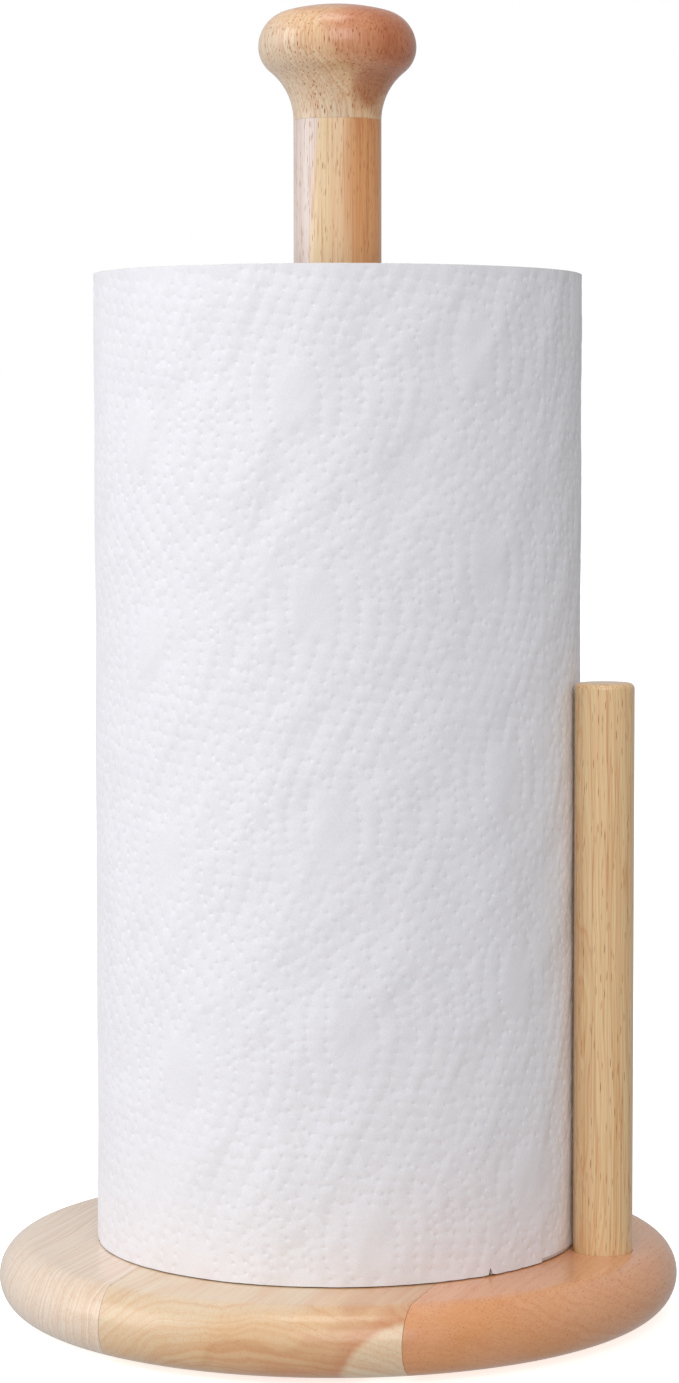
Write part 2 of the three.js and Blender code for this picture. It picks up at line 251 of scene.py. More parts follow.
def wood(name, tones, toward, width, place, pith, ring, pores, seed, figure=0.5, grain=0.5,
         middle=(0, 0, 0), edge=(0.12, 0.52), patches=()):
    """Lacquered rubberwood, with every length in mm. tones go from the pale to the dark side of the tree,
    toward is the way in which the piece darkens from its middle and width how far that takes, with the
    pale sapwood ending at edge. On the posts and the knob the pale side, toward the window, also holds a
    painted sheen, and the dark side painted shade. place turns the wood under the piece, with its grain
    along Z, pith is where the tree's centre was across the grain and ring a year's growth. pores is the
    share of cells with a pore, and a pore's width and length. figure and grain are how plainly the years
    and the fibres show. Each of the patches is the middle, radius and blur of a spot that grew
    differently, its colour and its added pores; the knob's brown patch under its rim is partly painted
    shade. The noises are scaled per mm, twice across the grain and then along it."""
    material, shader = new_finish(name)
    spot = shader.node("TexCoord")["Object"]
    start = sum(a * b for a, b in zip(middle, toward)) / width
    side = shader.node("VectorMath", {"operation": "DOT_PRODUCT"}, {0: spot, 1: toward})
    side = side / (width * MM) - start
    log = shader.node("Mapping", None, {"Vector": spot, "Rotation": place, "Scale": (1 / MM,) * 3})
    log = shader.node("VectorMath", {"operation": "SUBTRACT"}, {0: log, 1: (*pith, seed * SEED_STEP)})
    sway = log.scaled(0.022, 0.022, 0.006).noise(1.0, 3, 0.5)
    ripple = log.scaled(0.16, 0.16, 0.02).noise(1.0, 2, 0.5)
    axes = shader.node("SeparateXYZ", None, {"Vector": log})
    out = (axes["X"] * axes["X"] + axes["Y"] * axes["Y"]) ** 0.5
    growth = (out + sway * 20.0 + ripple * 2.0) / ring
    uneven = (growth * 0.7).noise_along(1.0)
    bands = (growth * 2.2).noise_along(2.0)
    year = (growth + uneven * 1.6).fraction()
    late = year ** 3.0 * (1 - year.ramp(0.9, 1.0))
    broad = log.scaled(0.05, 0.05, 0.008).noise(1.0, 2, 0.5)
    fibre = log.scaled(2.4, 2.4, 0.05).noise(1.0, 3, 0.6)
    silk = log.scaled(0.55, 0.55, 0.012).noise(1.0, 2, 0.5)
    strand = log.scaled(0.9, 0.9, 0.016).noise(1.0, 1, 0.5)
    thread = strand.ramp(0.455, 0.5) * strand.ramp(0.545, 0.5)

    share, pore_width, pore_length = pores
    across_cells = PORE_REACH / pore_width
    cells = log.scaled(across_cells, across_cells, PORE_REACH / pore_length)
    cells = shader.node("TexVoronoi", None, {"Vector": cells, "Scale": 1.0})
    chance = shader.node("SeparateColor", None, {"Color": cells["Color"]})
    crowd = log.scaled(0.10, 0.10, 0.03).noise(1.0, 1, 0.5).ramp(0.30, 0.62)
    kept = chance["Red"] + crowd * 0.35
    stains = []
    for centre, radius, blur, color, extra in patches:
        at = tuple(value * MM for value in centre)
        away = shader.node("VectorMath", {"operation": "DISTANCE"}, {0: spot, 1: at}) / (radius * MM)
        inside = (away + (ripple - 0.5) * blur).ramp(1 + blur / 2, 1 - blur / 2)
        kept = kept + inside * extra
        stains.append((inside, color))
    pore = cells["Distance"].ramp(PORE_REACH / 2, PORE_REACH / 4)
    pore = pore * kept.ramp(1.28 - share, 1.36 - share)
    pore = pore * (0.35 + chance["Green"] * 0.65)

    tone = side * 0.5 + 0.5 + (broad - 0.5) * 0.8
    body = tone.ramp(*edge).blend(tones[0], tones[1])
    body = tone.ramp(0.5, 1.0).blend(body, tones[2])
    heart = tone.ramp(0.53, 0.60) * tone.ramp(0.69, 0.60)
    body = (heart * figure * 0.5).blend(body, LATE_WOOD, "MULTIPLY")
    for inside, color in stains:
        body = (inside * PATCH_STRENGTH).blend(body, color)
    body = (bands.ramp(0.38, 0.72) * figure * 0.8).blend(body, WARM_STREAK, "MULTIPLY")
    body = (silk.ramp(0.45, 0.75) * grain * 0.6).blend(body, WARM_STREAK, "MULTIPLY")
    body = (late * broad * figure).blend(body, LATE_WOOD, "MULTIPLY")
    body = (thread * grain).blend(body, LATE_WOOD, "MULTIPLY")
    body = (fibre.ramp(0.45, 0.8) * grain).blend(body, FIBRE_SHADE, "MULTIPLY")
    body = (pore * 0.95).blend(body, DARK_GRAIN)
    relief = fibre * grain * 0.5 - late * 0.15
    bump = shader.node("Bump", None, {"Strength": 0.3, "Distance": 0.12 * MM, "Height": relief})
    close_finish(shader.node("BsdfPrincipled", None, {
        "Base Color": body,
        "Roughness": 0.46 + fibre * 0.12 + pore * 0.2,
        "Normal": bump,
        "Coat Weight": 0.9 - pore * 0.8,
        "Coat Roughness": 0.22,
    }))
    return material


def turned(name, outline, segments, x=0.0, loop=False, swell=None):
    """A mesh turned about a vertical line at x from (radius, height) points, lowest first. loop joins
    the last point to the first, and swell(angle, height) adds to the radius."""
    shape = bmesh.new()
    rings = []
    for radius, height in outline:
        ring = []
        for i in range(segments if radius > 0 else 1):
            angle = 2 * math.pi * i / segments
            out = radius + (swell(angle, height) if swell and radius > 0 else 0)
            ring.append(shape.verts.new((x + out * math.cos(angle), out * math.sin(angle), height)))
        rings.append(ring)
    pairs = list(zip(rings, rings[1:])) + ([(rings[-1], rings[0])] if loop else [])
    for lower, upper in pairs:
        for i in range(segments):
            j = (i + 1) % segments
            below = (lower[i % len(lower)], lower[j % len(lower)])
            above = (upper[j % len(upper)], upper[i % len(upper)])
            shape.faces.new(dict.fromkeys(below + above))
    return to_object(name, shape)


def to_object(name, shape):
    """Turns the loose shape into an object in the scene."""
    mesh = bpy.data.meshes.new(name)
    shape.to_mesh(mesh)
    shape.free()
    piece = bpy.data.objects.new(name, mesh)
    bpy.context.scene.collection.objects.link(piece)
    return piece


def arc(radius, height, round_, first, last, step=6.0):
    """Points on a circle about (radius, height), from one angle to another in degrees."""
    steps = max(1, math.ceil(abs(last - first) / step))
    turns = [math.radians(first + (last - first) * i / steps) for i in range(steps + 1)]
    return [(radius + round_ * math.cos(t), height + round_ * math.sin(t)) for t in turns]


def cut_away(piece, tool):
    """Takes the tool's solid out of the piece and throws the tool away."""
    trim = piece.modifiers.new("cut", "BOOLEAN")
    trim.operation = "DIFFERENCE"
    trim.solver = "EXACT"
    trim.object = tool
    bpy.context.view_layer.update()
    cut = bpy.data.meshes.new_from_object(piece.evaluated_get(bpy.context.evaluated_depsgraph_get()))
    piece.modifiers.clear()
    piece.data = cut
    bpy.data.objects.remove(tool)


def finish_piece(piece, material, body, nodes, crease=35):
    """Smooths the piece but for edges sharper than crease, and puts it on its body in its node's stead."""
    piece.data.shade_smooth()
    piece.data.set_sharp_from_angle(angle=math.radians(crease))
    piece.data.materials.clear()
    piece.data.materials.append(material)
    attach(piece, body)
    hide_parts(*nodes)
    return piece


SOCKET_CLEARANCE = 0.1 * MM
SCREW_CLEARANCE = 0.15 * MM
BOARD_SEGMENTS = 288
OVERSHOOT = 1 * MM

board_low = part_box("base_stave_left")[0].z
board_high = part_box("base_stave_left")[1].z
board_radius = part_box("base_stave_right")[1].x
edge_round = (board_high - board_low) / 2
flat_radius = board_radius - edge_round


def screw_sizes(node):
    """A countersunk screw's face height, length and half width of head, from its CAD solid."""
    low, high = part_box(node)
    return low.z, high.z - low.z, (high.y - low.y) / 2


def seat_cutter(post_node, screw_node, shank):
    """The socket that a post stands in, with its screw's hole and countersink below it."""
    post_low, post_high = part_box(post_node)
    x = (post_low.x + post_high.x) / 2
    socket = (post_high.x - post_low.x) / 2 + SOCKET_CLEARANCE
    face, length, head = screw_sizes(screw_node)
    foot = post_low.z - SOCKET_CLEARANCE
    mouth = head + SCREW_CLEARANCE
    hole = shank + SCREW_CLEARANCE
    below = board_low - OVERSHOOT
    above = board_high + OVERSHOOT
    outline = [(0, below), (mouth, below), (mouth, face), (hole, face + head - shank)]
    outline += [(hole, foot), (socket, foot), (socket, above), (0, above)]
    return turned("cutter", outline, segments=96, x=x)


def stave(name, sides):
    """The board between two upright glue faces, each as its x and which side of it is kept."""
    rim = arc(flat_radius, board_low + edge_round, edge_round, -90, 90)
    # two rings just inside the round keep the flat faces flat where the shading is smoothed
    inner = [0.97 * flat_radius, 0.99 * flat_radius]
    outline = [(0, board_low)] + [(r, board_low) for r in inner] + rim
    outline += [(r, board_high) for r in reversed(inner)] + [(0, board_high)]
    board = turned(name, outline, BOARD_SEGMENTS)
    shape = bmesh.new()
    shape.from_mesh(board.data)
    for x, kept in sides:
        everything = shape.verts[:] + shape.edges[:] + shape.faces[:]
        made = bmesh.ops.bisect_plane(shape, geom=everything, plane_co=(x, 0, 0),
                                      plane_no=(-kept, 0, 0), clear_outer=True)
        edges = [part for part in made["geom_cut"] if isinstance(part, bmesh.types.BMEdge)]
        bmesh.ops.holes_fill(shape, edges=edges)
    bmesh.ops.recalc_face_normals(shape, faces=shape.faces[:])
    shape.to_mesh(board.data)
    shape.free()
    return board


ALONG_Y = (math.radians(90), 0, 0)
RIGHTWARD = (1, 0, 0)
PALE_TONES = paint("EADBCA"), paint("EBD8C0"), paint("E6CDAC")
TAN_TONES = paint("E3CDAC"), paint("E3BF92"), paint("DA9F6E")
PALE_WEDGE = paint("F4E2C2")
RED_STREAK = paint("D79A70")
ORANGE_TONES = paint("E3A064"), paint("E39D60"), paint("E8AC80")
POST_SHANK = 2.4 * MM
SIDE_POST_SHANK = 2.1 * MM

middle_low, middle_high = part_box("base_stave_middle")
left_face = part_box("base_stave_left")[1].x
right_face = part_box("base_stave_right")[0].x

pale_stave = stave("base_stave_left_turned", [(left_face, -1)])
finish_piece(pale_stave, wood("pale_rubberwood", PALE_TONES, toward=RIGHTWARD, width=90,
                              place=ALONG_Y, pith=(-150, -20), ring=7.0,
                              pores=(0.05, 0.22, 3.0), seed=1, grain=0.2),
             "holder", ["base_stave_left"])

tan_stave = stave("base_stave_middle_turned", [(middle_low.x, 1), (middle_high.x, -1)])
cut_away(tan_stave, seat_cutter("center_post", "post_screw", POST_SHANK))
finish_piece(tan_stave, wood("tan_rubberwood", TAN_TONES, toward=(0.25, 0, -0.97), width=16,
                             middle=(0, 0, 11), place=ALONG_Y, pith=(6, 46), ring=14.0,
                             pores=(0.05, 0.22, 3.0), seed=2, figure=0.5, grain=0.18,
                             patches=[((54, -88, -11), 35, 0.2, RED_STREAK, 0.0),
                                      ((54, -88, -11), 31.5, 0.08, PALE_WEDGE, 0.0)]),
             "holder", ["base_stave_middle"])

orange_stave = stave("base_stave_right_turned", [(right_face, 1)])
cut_away(orange_stave, seat_cutter("side_post", "side_post_screw", SIDE_POST_SHANK))
finish_piece(orange_stave, wood("orange_rubberwood", ORANGE_TONES, toward=RIGHTWARD, width=90,
                                place=ALONG_Y, pith=(20, 60), ring=9.0,
                                pores=(0.55, 0.20, 3.0), seed=3, figure=0.25, grain=0.2,
                                patches=[((44, -86, 15), 7, 0.9, RED_STREAK, 0.0)]),
             "holder", ["base_stave_right"])


# ---- Foot pads -------------------------------------------------------------
# Four discs of pressed brown felt, stuck under the board near its rim so that
# the screws and the wood stay off the worktop.

PAD_EDGE = 0.45 * MM
PAD_TOP_CHAMFER = 0.2 * MM
PAD_FRAY = 0.12 * MM

felt, shader = new_finish("pressed_felt")
spot = shader.node("TexCoord")["Object"]
fluff = spot.noise(2600, 4, 0.7)
clump = spot.noise(700, 2)
mixed = fluff.ramp(0.3, 0.7) * 0.7 + clump.ramp(0.3, 0.7) * 0.3
bump = shader.node("Bump", None, {"Strength": 0.8, "Distance": 0.2 * MM, "Height": fluff + clump})
close_finish(shader.node("BsdfPrincipled", None, {
    "Base Color": mixed.blend(paint("53443A"), paint("8C7763")),
    "Roughness": 0.95,
    "Sheen Weight": 0.4,
    "Normal": bump,
}))


def felt_pad(node):
    """A pad in its node's place, with a worn lower edge and a rim that frays inward."""
    low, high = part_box(node)
    radius = (high.x - low.x) / 2
    edge = arc(radius - PAD_EDGE, low.z + PAD_EDGE, PAD_EDGE, -90, 0, step=15)
    outline = [(0, low.z), (0.6 * radius, low.z), *edge, (radius, high.z - PAD_TOP_CHAMFER)]
    outline += [(radius - PAD_TOP_CHAMFER, high.z), (0, high.z)]

    def frayed(angle, height):
        where = Vector((9 * math.cos(angle), 9 * math.sin(angle), height / MM))
        return -PAD_FRAY * (1 + noise.noise(where))

    pad = turned(node + "_felt", outline, segments=72, swell=frayed)
    pad.data.transform(Matrix.Translation(((low.x + high.x) / 2, (low.y + high.y) / 2, 0)))
    return pad


for number in range(1, 5):
    node = f"foot_pad_{number}"
    finish_piece(felt_pad(node), felt, "holder", [node])


# ---- Centre post -----------------------------------------------------------
# A 23 mm rubberwood dowel that stands in a shallow socket and takes the screw
# from below. Its top has a fine chamfer where the knob is glued on.

# The camera's right, away from the window: the posts darken toward it partly in their own tone and partly
# in painted shade.
HEART_AND_SHADE_SIDE = (0.955, 0.295, 0)
# The post's pale first tone, on the window's side, is partly a painted sheen.
POST_TONES = paint("E0D5D0"), paint("EAD3AC"), paint("E1A062")
JOINT_CHAMFER = 0.05 * MM
FOOT_CHAMFER = 0.2 * MM
PILOT_CLEARANCE = 0.15 * MM
PIN_CLEARANCE = 0.1 * MM


def bored(name, outline, segments, x, radius, bottom, top):
    """A turned piece with a round hole bored into it on its own axis."""
    piece = turned(name, outline, segments, x)
    hole = [(0, bottom), (radius, bottom), (radius, top), (0, top)]
    cut_away(piece, turned("cutter", hole, segments=48, x=x))
    return piece


def steps_between(bottom, top, step):
    """Numbers from bottom to top, evenly spaced and at most a step apart."""
    count = max(1, math.ceil((top - bottom) / step))
    return [bottom + (top - bottom) * i / count for i in range(count + 1)]


post_low, post_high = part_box("center_post")
post_radius = (post_high.x - post_low.x) / 2
pin_low, pin_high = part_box("knob_dowel_pin")
pin_hole = (pin_high.x - pin_low.x) / 2 + PIN_CLEARANCE
screw_face, screw_length, _ = screw_sizes("post_screw")

outline = [(0, post_low.z), (post_radius - FOOT_CHAMFER, post_low.z)]
outline += [(post_radius, post_low.z + FOOT_CHAMFER)]
outline += [(post_radius, post_high.z - JOINT_CHAMFER), (post_radius - JOINT_CHAMFER, post_high.z)]
outline += [(0, post_high.z)]
post = bored("center_post_dowel", outline, segments=128, x=0, radius=POST_SHANK + PILOT_CLEARANCE,
             bottom=post_low.z - OVERSHOOT, top=screw_face + screw_length + PILOT_CLEARANCE)
pin_foot = pin_low.z - PIN_CLEARANCE
above = post_high.z + OVERSHOOT
pin_bore = [(0, pin_foot), (pin_hole, pin_foot), (pin_hole, above), (0, above)]
cut_away(post, turned("cutter", pin_bore, segments=48))
finish_piece(post, wood("post_rubberwood", POST_TONES, toward=HEART_AND_SHADE_SIDE, width=11,
                        place=(0, 0, math.radians(25)), pith=(-38, -15),
                        ring=6.0, pores=(0.66, 0.22, 2.6), seed=5, figure=0.2,
                        edge=(0.32, 0.40)),
             "holder", ["center_post"])


# ---- Knob ------------------------------------------------------------------
# Turned from one block: a cove flares out of the neck into a round rim, and a
# shoulder closes it under a low dome. A hidden dowel pin joins it to the post.

# The knob is paler on the window's side, partly a painted sheen, and darker away from it, partly painted
# shade.
KNOB_BLUSH = paint("D8966C")
# The brown patch on the neck's right under the rim is partly the wood's brown and partly painted shade.
KNOB_BROWN_AND_SHADE = paint("B5713F")
KNOB_TONES = paint("E0CEB4"), paint("E8C79E"), paint("C87F52")
GLUE_LINE = 0.02 * MM
KNOB_RIM_HEIGHT = 19 * MM
KNOB_RIM_ROUND = 8 * MM
KNOB_DOME_RADIUS = 52 * MM

knob_low, knob_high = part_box("post_knob")
neck = post_radius
knob_foot = post_high.z + GLUE_LINE
rim_radius = (knob_high.y - knob_low.y) / 2
knob_joint = (knob_low.z + post_high.z) / 2
rim_height = knob_joint + KNOB_RIM_HEIGHT
flare = rim_radius - neck
cove_round = (flare ** 2 + KNOB_RIM_HEIGHT ** 2) / (2 * flare) - KNOB_RIM_ROUND
rim_centre = rim_radius - KNOB_RIM_ROUND
cove_centre = neck + cove_round
cove_end = math.degrees(math.atan2(KNOB_RIM_HEIGHT, cove_centre - rim_centre))
dome_drop = KNOB_DOME_RADIUS - (knob_high.z - rim_height)
dome_excess = KNOB_DOME_RADIUS ** 2 - rim_radius ** 2 - dome_drop ** 2
shoulder_round = dome_excess / (2 * (KNOB_DOME_RADIUS - rim_radius))
shoulder_centre = rim_radius - shoulder_round
dome_start = math.degrees(math.atan2(dome_drop, shoulder_centre))
cove = arc(cove_centre, knob_joint, cove_round, 180, 180 - cove_end, step=2)
outline = [(0, knob_foot), (neck - JOINT_CHAMFER, knob_foot), (neck, knob_foot + JOINT_CHAMFER)]
outline += [point for point in cove if point[1] > knob_foot + JOINT_CHAMFER]
outline += arc(rim_centre, rim_height, KNOB_RIM_ROUND, -cove_end, 0, step=5)[1:]
outline += arc(shoulder_centre, rim_height, shoulder_round, 0, dome_start, step=5)[1:]
outline += arc(0, rim_height - dome_drop, KNOB_DOME_RADIUS, dome_start, 90, step=1.5)[1:-1]
outline += [(0, knob_high.z)]
knob = bored("post_knob_turned", outline, segments=144, x=0, radius=pin_hole,
             bottom=knob_foot - OVERSHOOT, top=pin_high.z + PIN_CLEARANCE)
finish_piece(knob, wood("knob_rubberwood", KNOB_TONES, toward=(0.78, 0.24, 0.58), width=15,
                        place=(0, 0, 0), pith=(-38, 13), ring=7.5,
                        pores=(1.0, 0.46, 1.9), seed=8, figure=0.5, middle=(0, 0, 327),
                        patches=[((10, -16, 334), 7, 0.8, KNOB_BLUSH, 0.3),
                                 # the brown patch under the rim is partly painted shade
                                 ((13, -8, 321), 6, 0.7, KNOB_BROWN_AND_SHADE, 0.3)]),
             "holder", ["post_knob"])

PIN_TONES = paint("E4CDAA"), paint("DFC299"), paint("D6B68C")
PIN_FLUTES = 12
PIN_FLUTE_DEPTH = 0.3 * MM
PIN_CHAMFER = 1 * MM


def fluted(angle, _height):
    """How far a flute, which lets the glue out, sinks into the pin at an angle."""
    return -PIN_FLUTE_DEPTH * max(0.0, math.cos(PIN_FLUTES * angle)) ** 4


pin_radius = (pin_high.x - pin_low.x) / 2
outline = [(0, pin_low.z), (pin_radius - PIN_CHAMFER, pin_low.z)]
outline += [(pin_radius, pin_low.z + PIN_CHAMFER), (pin_radius, pin_high.z - PIN_CHAMFER)]
outline += [(pin_radius - PIN_CHAMFER, pin_high.z), (0, pin_high.z)]
pin = turned("knob_dowel_pin_fluted", outline, segments=192, swell=fluted)
finish_piece(pin, wood("beech_pin", PIN_TONES, toward=RIGHTWARD, width=8,
                       place=(0, 0, 0), pith=(-25, -33), ring=4.0,
                       pores=(0.3, 0.2, 2.0), seed=11),
             "holder", ["knob_dowel_pin"])


# ---- Side post -------------------------------------------------------------
# A thinner dowel, half as tall as the roll, in a socket in the right stave. It
# leans on the outer towel, so that the roll can't unwind by itself.

SIDE_POST_TONES = paint("F4E6BA"), paint("F5E9C0"), paint("EDD2A2")
SIDE_POST_TOP_ROUND = 1.5 * MM

side_low, side_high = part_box("side_post")
side_x = (side_low.x + side_high.x) / 2
side_radius = (side_high.x - side_low.x) / 2
side_face, side_length, _ = screw_sizes("side_post_screw")
outline = [(0, side_low.z), (side_radius - FOOT_CHAMFER, side_low.z)]
outline += [(side_radius, side_low.z + FOOT_CHAMFER)]
outline += arc(side_radius - SIDE_POST_TOP_ROUND, side_high.z - SIDE_POST_TOP_ROUND,
               SIDE_POST_TOP_ROUND, 0, 90)
outline += [(0.7 * side_radius, side_high.z), (0, side_high.z)]
side_post = bored("side_post_dowel", outline, segments=112, x=side_x,
                  radius=SIDE_POST_SHANK + PILOT_CLEARANCE, bottom=side_low.z - OVERSHOOT,
                  top=side_face + side_length + PILOT_CLEARANCE)
# The side post darkens toward the camera's right, partly in painted shade.
finish_piece(side_post, wood("side_post_rubberwood", SIDE_POST_TONES, toward=HEART_AND_SHADE_SIDE, width=14,
                             place=(0, 0, math.radians(-70)), pith=(-46, -39),
                             ring=5.0, pores=(0.62, 0.24, 3.4), seed=13, figure=0.6),
             "holder", ["side_post"])


# ---- Screws ----------------------------------------------------------------
# Zinc-plated countersunk wood screws, up through the board into each post, with
# a cross recess in the head and a cut thread that tapers out at the point.

THREAD_DEPTH = 0.6 * MM
THREAD_STEP = 0.2 * MM
SCREW_POINT = 5 * MM
SCREW_TIP = 0.4 * MM
HEAD_LIP = 0.3 * MM
RECESS_LENGTH = 4.4 * MM
RECESS_WIDTH = 1.1 * MM
RECESS_DEPTH = 1.5 * MM
RECESS_TAPER = 0.45

zinc, shader = new_finish("zinc_plate")
spot = shader.node("TexCoord")["Object"]
cloud = spot.noise(420, 3, 0.6)
scratch = spot.scaled(1, 1, 0.15).noise(5200, 2)
close_finish(shader.node("BsdfPrincipled", None, {
    "Base Color": cloud.ramp(0.3, 0.75).blend(paint("C9CBC8"), paint("A9A79A")),
    "Metallic": 1.0,
    "Roughness": 0.27 + cloud * 0.18,
    "Normal": shader.node("Bump", None, {"Strength": 0.2, "Distance": 0.05 * MM, "Height": scratch}),
}))


def wood_screw(node, shank, plain, pitch):
    """One screw in its node's place, with a plain length under the head before the thread starts."""
    low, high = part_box(node)
    x = (low.x + high.x) / 2
    face, length, head = screw_sizes(node)
    thread_end = high.z - SCREW_POINT
    outline = [(0, face), (head - HEAD_LIP, face), (head, face + HEAD_LIP)]
    outline += [(shank, face + head - shank)]
    outline += [(shank, height) for height in steps_between(face + plain, thread_end, THREAD_STEP)]
    outline += [(shank * (high.z - height) / SCREW_POINT, height)
                for height in steps_between(thread_end, high.z - SCREW_TIP, THREAD_STEP)[1:]]
    outline += [(0, high.z)]

    def thread(angle, height):
        if height < face + plain:
            return 0.0
        climb = (height / pitch - angle / (2 * math.pi)) % 1.0
        crest = max(0.0, 1 - abs(climb - 0.5) / 0.3)
        fade_in = min(1.0, (height - face - plain) / pitch)
        fade_out = min(1.0, (high.z - height) / SCREW_POINT)
        return -THREAD_DEPTH * (1 - crest) * fade_in * fade_out

    screw = turned(node + "_threaded", outline, segments=48, x=x, swell=thread)
    for turn in (0, math.pi / 2):
        bit = bmesh.new()
        bmesh.ops.create_cube(bit, size=1)
        for corner in bit.verts:
            tip = RECESS_TAPER if corner.co.z > 0 else 1.0
            corner.co = Vector((corner.co.x * RECESS_LENGTH * tip,
                                corner.co.y * RECESS_WIDTH * (0.5 + tip / 2),
                                (corner.co.z + 0.5) * (RECESS_DEPTH + OVERSHOOT) - OVERSHOOT))
        bmesh.ops.rotate(bit, verts=bit.verts[:], cent=(0, 0, 0), matrix=Matrix.Rotation(turn, 3, "Z"))
        bmesh.ops.translate(bit, verts=bit.verts[:], vec=(x, 0, face))
        cut_away(screw, to_object("cutter", bit))
    return finish_piece(screw, zinc, "holder", [node], crease=40)


wood_screw("post_screw", POST_SHANK, plain=14 * MM, pitch=2.4 * MM)
wood_screw("side_post_screw", SIDE_POST_SHANK, plain=12 * MM, pitch=2.2 * MM)


# ---- Roll core -------------------------------------------------------------
# A tube of grey-brown board, wound on a slant from two plies, so a seam climbs
# round it. It drops over the post and the knob, and turns on the base.

SEAM_LEAD = 62.0 * MM
CORE_WALL = 0.9 * MM
PLY_STEP = 0.12 * MM

card, shader = new_finish("core_board")
spot = shader.node("TexCoord")["Object"]
axes = shader.node("SeparateXYZ", None, {"Vector": spot})
around = shader.math("ARCTAN2", axes["Y"], axes["X"]) / (2 * math.pi)
climb = (axes["Z"] / SEAM_LEAD - around).fraction()
seam = climb.ramp(0.016, 0.0) + climb.ramp(0.985, 1.0) * 0.5
fibre = spot.scaled(1, 1, 0.35).noise(1500, 4, 0.65)
speck = spot.noise(420, 2)
tone = (fibre.ramp(0.3, 0.75) * 0.6 + climb * 0.25).blend(paint("A98C6B"), paint("C6AC88"))
tone = (speck.ramp(0.62, 0.72) * 0.3).blend(tone, paint("8A6E50"))
rough = fibre * 0.5 - seam
close_finish(shader.node("BsdfPrincipled", None, {
    "Base Color": (seam * 0.5).blend(tone, paint("7E654A")),
    "Roughness": 0.88,
    "Normal": shader.node("Bump", None, {"Strength": 0.5, "Distance": 0.15 * MM, "Height": rough}),
}))

core_low, core_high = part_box("roll_core")
core_radius = (core_high.x - core_low.x) / 2
bore = core_radius - CORE_WALL
ply = core_radius - CORE_WALL / 2
outline = [(bore, core_low.z + PLY_STEP), (ply, core_low.z + PLY_STEP), (ply, core_low.z)]
outline += [(core_radius, core_low.z)]
outline += [(core_radius, core_high.z - PLY_STEP), (ply, core_high.z - PLY_STEP), (ply, core_high.z)]
outline += [(bore, core_high.z)]
core = turned("roll_core_tube", outline, segments=144, loop=True)
finish_piece(core, card, "core", ["roll_core"])


# ---- Wound paper -----------------------------------------------------------
# The body of the roll: about a hundred turns of soft two-ply towel. Its ends
# show the turns as a fine spiral, some standing a little proud of the rest.
# A nick in its foot goes on through the last towel.

TURN_PITCH = 0.68 * MM
END_RELIEF = 0.32 * MM
WIND_SEGMENTS = 180
WIND_CLEARANCE = 0.1 * MM
TOWEL_THICKNESS = 0.4 * MM
TAIL_ANGLE = -18.0
NICK_FROM_TAIL = 20.0
NICK_WIDTH = 1.3
NICK_HEIGHT = 1.8
NICK_DEPTH = 5.0
SAME_POINT = 2e-6

wound, shader = new_finish("wound_towel")
spot = shader.node("TexCoord")["Object"]
axes = shader.node("SeparateXYZ", None, {"Vector": spot})
around = shader.math("ARCTAN2", axes["Y"], axes["X"]) / (2 * math.pi)
out = (axes["X"] * axes["X"] + axes["Y"] * axes["Y"]) ** 0.5
wander = spot.scaled(1, 1, 0).noise(95, 2)
layer = (out / (0.5 * TURN_PITCH) - around * 2 + wander * 0.5).fraction()
gap = layer.ramp(0.3, 0.0) + layer.ramp(0.75, 1.0)
slack = (out / (4 * TURN_PITCH) + wander * 0.6).noise_along(3.0).ramp(0.42, 0.68)
fluff = spot.noise(2400, 4, 0.65)
# The grey in the gaps between turns, deeper at slack turns, is painted shade.
shade = gap * (0.2 + wander * 0.4) + slack * 0.35
rough = fluff * 0.4 - gap * 0.6
close_finish(shader.node("BsdfPrincipled", None, {
    "Base Color": shade.blend(paint("F3F2F1"), paint("B9B4AF")),
    "Roughness": 0.95,
    "Specular IOR Level": 0.2,
    "Normal": shader.node("Bump", None, {"Strength": 0.5, "Distance": 0.2 * MM, "Height": rough}),
}))

wind_low, wind_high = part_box("paper_winding")
wind_outer = (wind_high.x - wind_low.x) / 2
wind_inner = core_radius + WIND_CLEARANCE


def wound_end(shape, level, up):
    """Adds one end of the winding to the shape, as ridges and hollows along a spiral."""
    step = TURN_PITCH / 2
    count = math.ceil((wind_outer - wind_inner) / step)
    spirals = []
    for i in range(-2, count + 1):
        spiral = []
        for k in range(WIND_SEGMENTS + 1):
            angle = 2 * math.pi * k / WIND_SEGMENTS
            radius = wind_inner + step * (i + 2 * k / WIND_SEGMENTS)
            radius = min(wind_outer, max(wind_inner, radius))
            edge = min(1.0, (radius - wind_inner) / TURN_PITCH, (wind_outer - radius) / TURN_PITCH)
            x, y = math.cos(angle), math.sin(angle)
            where = Vector((radius / TURN_PITCH * 0.63, x * 0.9, y * 0.9 + up * 5))
            proud = 0.5 + 0.5 * noise.noise(where) + 0.3 * noise.noise(where * 3)
            hollow = (0.35 + 0.65 * proud) if i % 2 else 0.0
            sink = END_RELIEF * (0.55 * (1 - proud) + 0.45 * hollow) * edge
            spiral.append(shape.verts.new((radius * x, radius * y, level - up * sink)))
        spirals.append(spiral)
    for inner, outer in zip(spirals, spirals[1:]):
        for k in range(WIND_SEGMENTS):
            corners = (inner[k], outer[k], outer[k + 1], inner[k + 1])
            shape.faces.new(corners if up > 0 else corners[::-1])


